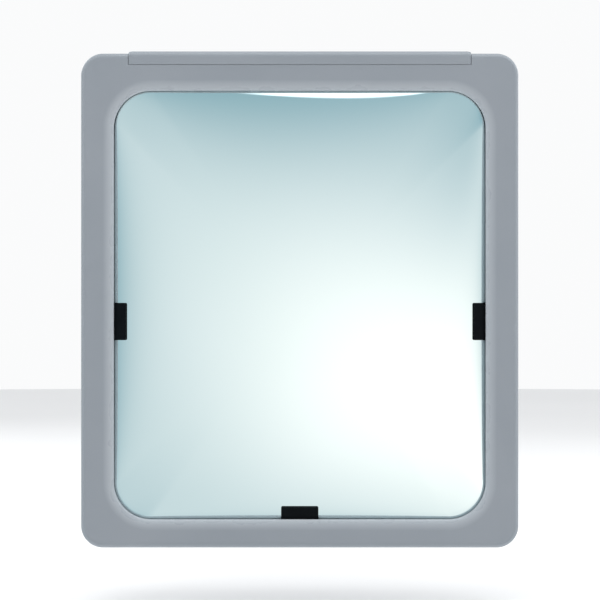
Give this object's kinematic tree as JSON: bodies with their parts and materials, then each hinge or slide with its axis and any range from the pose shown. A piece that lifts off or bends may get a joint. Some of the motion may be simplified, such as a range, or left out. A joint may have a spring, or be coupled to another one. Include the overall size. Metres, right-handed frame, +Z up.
{
  "type": "convex security mirror",
  "caption": "Rectangular convex mirror in a grey rounded frame with black edge clips, on a wall bracket that pans and tilts and is clamped by hand knobs.",
  "frame": {"origin": "centre of the wall plate's back face", "axes": "+Z up, -Y out of the wall towards the viewer, so +Y points into the wall, +X to the viewer's right"},
  "size_m": [0.44, 0.2364, 0.4993],
  "materials": {
    "grey_plastic": "satin",
    "mirror_silver": "polished",
    "dark_foam": "matte closed-cell foam",
    "black_nylon": "moulded",
    "zinc_steel": "zinc plated",
    "painted_steel": "powder coat",
    "white_nylon": "moulded",
    "brass_insert": "machined"
  },
  "bodies": {
    "wall_mount": {"wall_bracket": "painted_steel", "pan_bolt": "zinc_steel", "pan_washer_upper": "zinc_steel", "pan_washer_lower": "zinc_steel"},
    "pan_clamp": {"pan_knob": "black_nylon", "pan_knob_insert": "brass_insert"},
    "arm": {"swivel_arm": "painted_steel", "pan_disc_upper": "white_nylon", "pan_disc_lower": "white_nylon", "tilt_disc_left": "white_nylon", "tilt_disc_right": "white_nylon"},
    "head": {"front_frame": "grey_plastic", "rear_shell": "grey_plastic", "top_clamp_strip": "grey_plastic", "mirror_panel": "mirror_silver", "mirror_gasket": "dark_foam", "top_edge_packing": "dark_foam", "clip_left": "black_nylon", "clip_right": "black_nylon", "clip_bottom": "black_nylon", "clip_screw_left": "zinc_steel", "clip_screw_right": "zinc_steel", "clip_screw_bottom": "zinc_steel", "frame_screw_1": "zinc_steel", "frame_screw_2": "zinc_steel", "frame_screw_3": "zinc_steel", "frame_screw_4": "zinc_steel", "frame_screw_5": "zinc_steel", "frame_screw_6": "zinc_steel", "frame_screw_7": "zinc_steel", "frame_screw_8": "zinc_steel", "strip_screw_left": "zinc_steel", "strip_screw_right": "zinc_steel", "inner_mount_plate": "zinc_steel", "tilt_fork": "painted_steel", "fork_screw_1": "zinc_steel", "fork_screw_2": "zinc_steel", "fork_screw_3": "zinc_steel", "fork_screw_4": "zinc_steel", "tilt_bolt": "zinc_steel", "tilt_washer_left": "zinc_steel", "tilt_washer_right": "zinc_steel"},
    "tilt_clamp": {"tilt_knob": "black_nylon", "tilt_knob_insert": "brass_insert"}
  },
  "joints": [
    {"name": "pan", "type": "hinge", "parent": "wall_mount", "child": "arm", "pos_m": [0, -0.036, 0], "axis": [0, 0, 1], "range_deg": [-20, 20]},
    {"name": "tilt", "type": "hinge", "parent": "arm", "child": "head", "pos_m": [0, -0.146, 0], "axis": [1, 0, 0], "range_deg": [-10, 25]},
    {"name": "pan_knob_turn", "type": "hinge", "parent": "wall_mount", "child": "pan_clamp", "pos_m": [0, -0.036, 0], "axis": [0, 0, -1], "range_deg": [0, 270]},
    {"name": "tilt_knob_turn", "type": "hinge", "parent": "head", "child": "tilt_clamp", "pos_m": [0, -0.146, 0], "axis": [1, 0, 0], "range_deg": [0, 270]}
  ]
}
